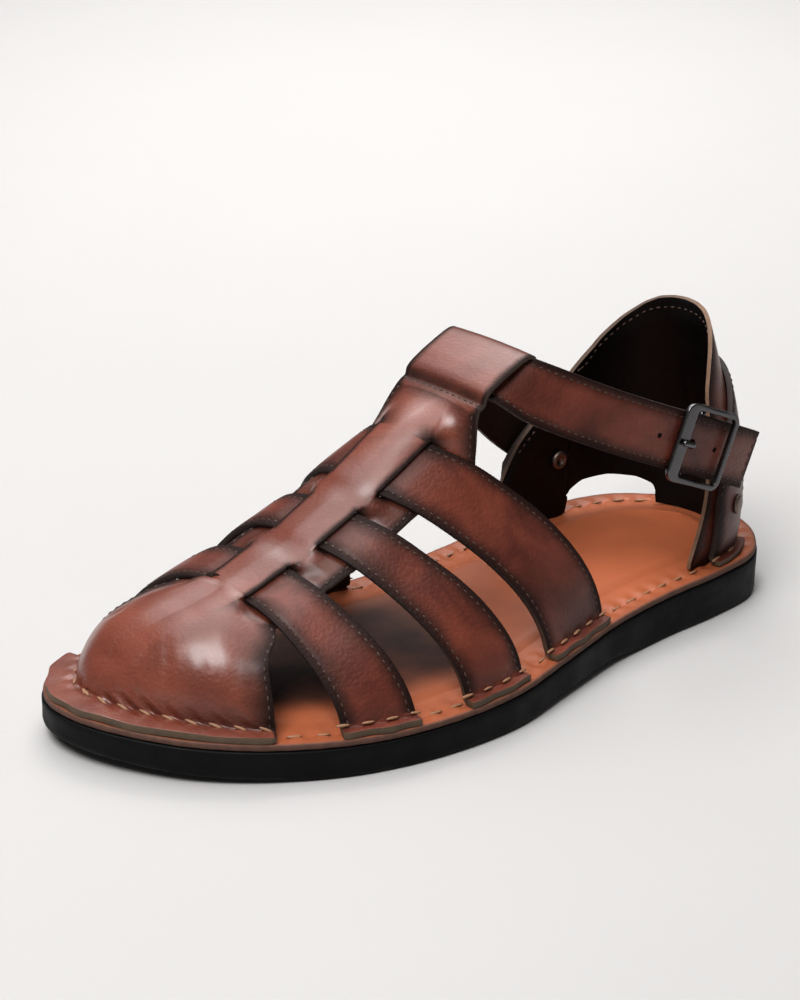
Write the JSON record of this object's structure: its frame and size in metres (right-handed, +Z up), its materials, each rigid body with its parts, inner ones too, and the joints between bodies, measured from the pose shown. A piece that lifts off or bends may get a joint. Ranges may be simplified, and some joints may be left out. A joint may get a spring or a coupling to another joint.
{
  "type": "woven leather sandal",
  "caption": "Left fisherman sandal with a closed toe cap, woven cross straps, heel counter and buckled ankle strap on a flat rubber sole.",
  "frame": {"origin": "centre of the footprint's box, on the floor", "axes": "+Z up, toe towards -Y, heel towards +Y, lateral side with the buckle towards +X"},
  "size_m": [0.113, 0.2914, 0.1125],
  "materials": {
    "brown_leather": "burnished, soft gloss, darkened edges",
    "tan_leather": "smooth, satin",
    "black_rubber": "matt",
    "dark_metal": "dark polished"
  },
  "bodies": {
    "root": {"outsole": "black_rubber", "insole": "tan_leather", "upper": "brown_leather", "heel_counter": "brown_leather", "heel_band": "brown_leather", "ankle_strap": "brown_leather", "buckle_frame": "dark_metal", "buckle_pin": "dark_metal", "buckle_prong": "dark_metal", "rivet_lateral": "dark_metal", "rivet_medial": "dark_metal"}
  },
  "joints": []
}
